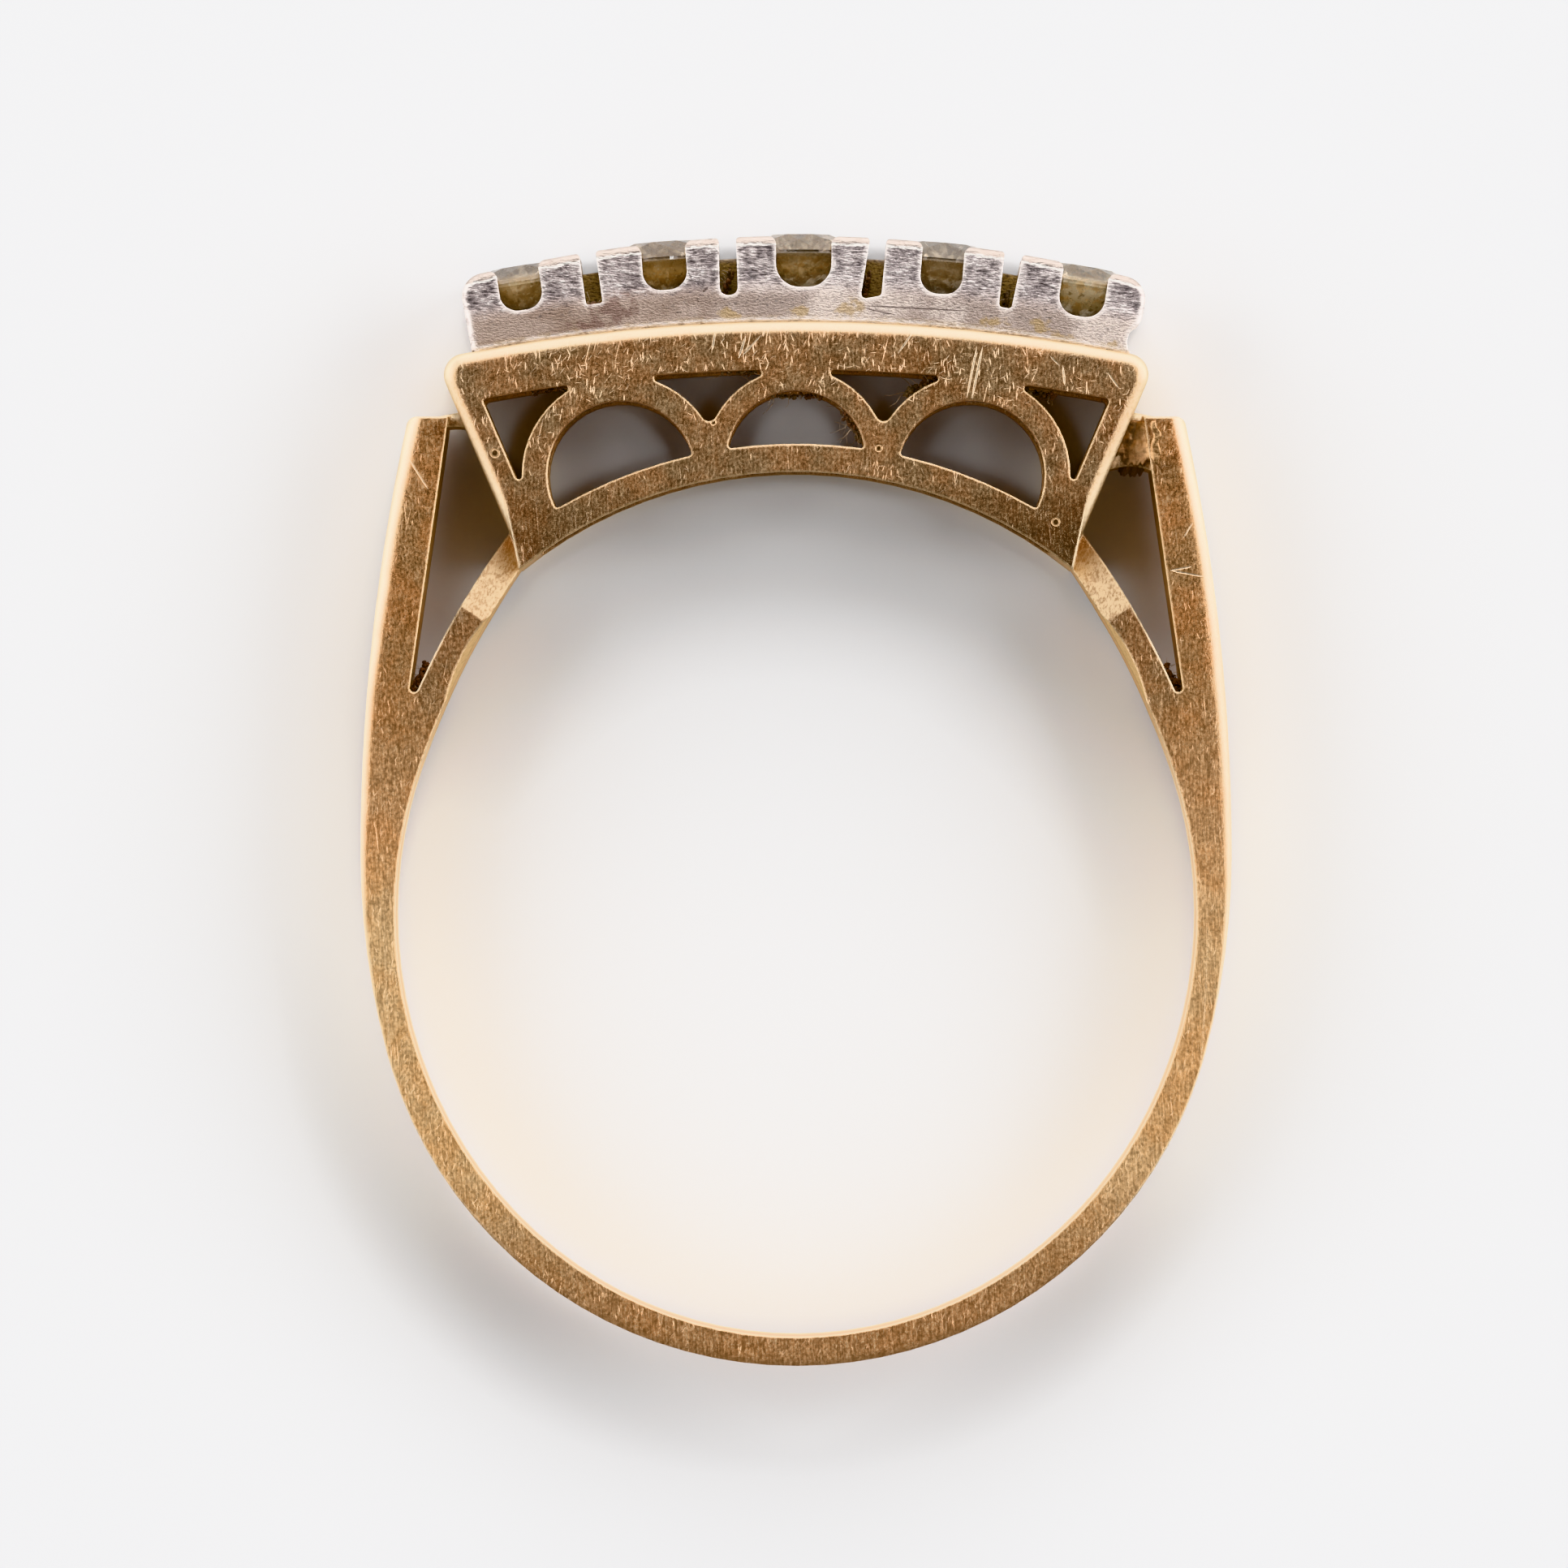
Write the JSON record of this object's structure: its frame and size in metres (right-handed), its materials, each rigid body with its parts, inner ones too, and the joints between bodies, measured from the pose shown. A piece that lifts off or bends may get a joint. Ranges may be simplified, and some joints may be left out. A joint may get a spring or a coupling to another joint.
{
  "type": "five stone ring",
  "caption": "Gold finger ring with split shoulders, a hollow gallery pierced with arches, and a white metal strip of claw seats that holds a straight row of round cut stones.",
  "frame": {"origin": "on the finger's axis, at the middle of the finger hole's oval, level with the lower face of the gallery that the ring lies on", "axes": "+Z is the finger's axis and points up while the ring lies on its side, +Y points from the finger to the stones, +X runs along the row of stones"},
  "size_m": [0.0184, 0.024, 0.0033],
  "materials": {
    "gold": "satin faces with fine scratches and bright rounded edges",
    "white_metal": "filed and slightly pitted",
    "stone": "polished facets"
  },
  "bodies": {
    "root": {"ring_body": "gold", "setting": "white_metal", "stone_1": "stone", "stone_2": "stone", "stone_3": "stone", "stone_4": "stone", "stone_5": "stone"}
  },
  "joints": []
}
